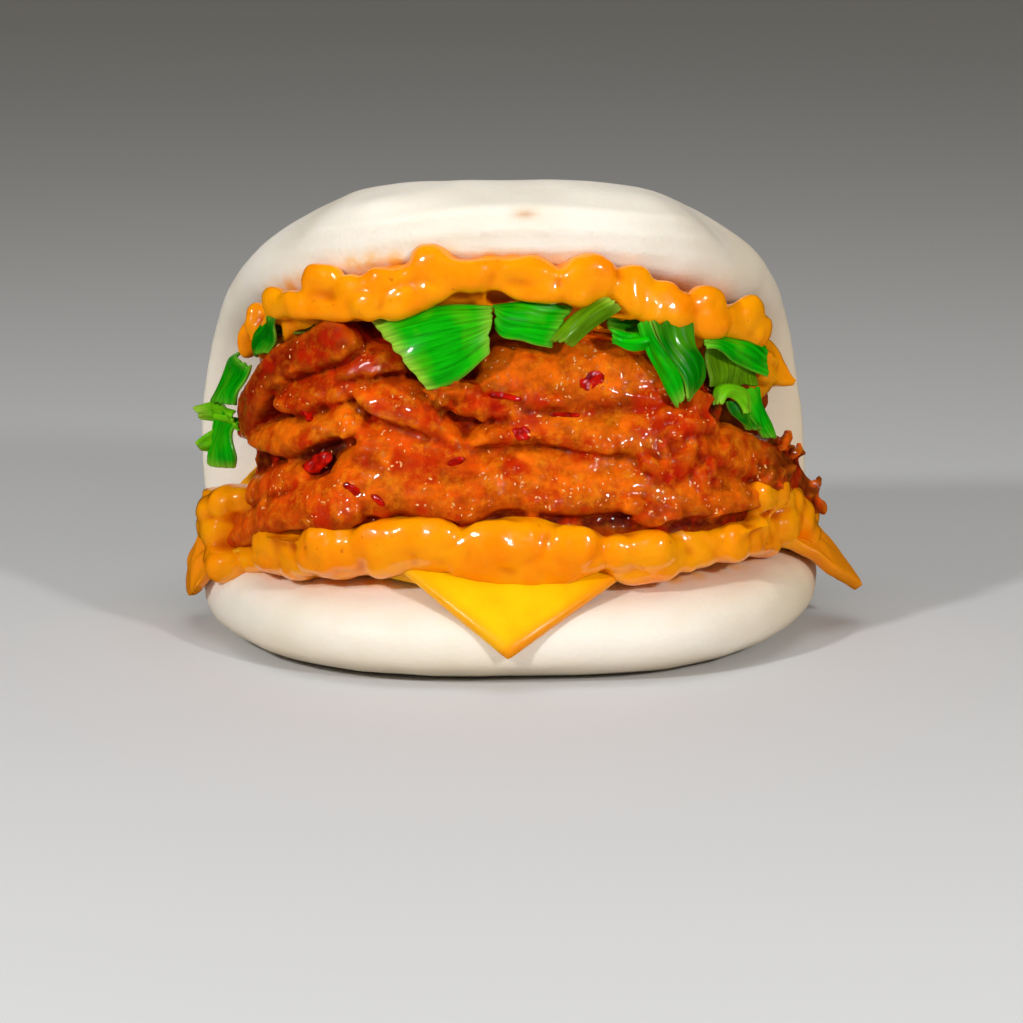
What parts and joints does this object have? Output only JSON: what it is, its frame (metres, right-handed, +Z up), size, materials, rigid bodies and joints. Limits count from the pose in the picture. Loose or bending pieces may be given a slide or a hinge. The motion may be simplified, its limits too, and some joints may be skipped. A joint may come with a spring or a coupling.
{
  "type": "filled bao bun",
  "caption": "Folded steamed bun standing on its lower half, filled with a cheese slice, saucy meat strips, spring onion and cheese sauce along both lips.",
  "frame": {"origin": "on the surface the bun stands on, under its middle", "axes": "+X to the right as the viewer faces the open mouth, mouth towards -Y, +Z up"},
  "size_m": [0.1216, 0.0827, 0.0814],
  "materials": {
    "steamed_dough": "matte",
    "cheese_slice": "satin",
    "cheese_sauce": "gloss",
    "sauced_meat": "gloss",
    "spring_onion": "satin"
  },
  "bodies": {
    "root": {"bun": "steamed_dough", "cheese_slice": "cheese_slice", "lower_sauce": "cheese_sauce", "upper_sauce": "cheese_sauce", "meat": "sauced_meat", "scallion_01": "spring_onion", "scallion_02": "spring_onion", "scallion_03": "spring_onion", "scallion_04": "spring_onion", "scallion_05": "spring_onion", "scallion_06": "spring_onion", "scallion_07": "spring_onion", "scallion_08": "spring_onion", "scallion_09": "spring_onion", "scallion_10": "spring_onion"}
  },
  "joints": []
}
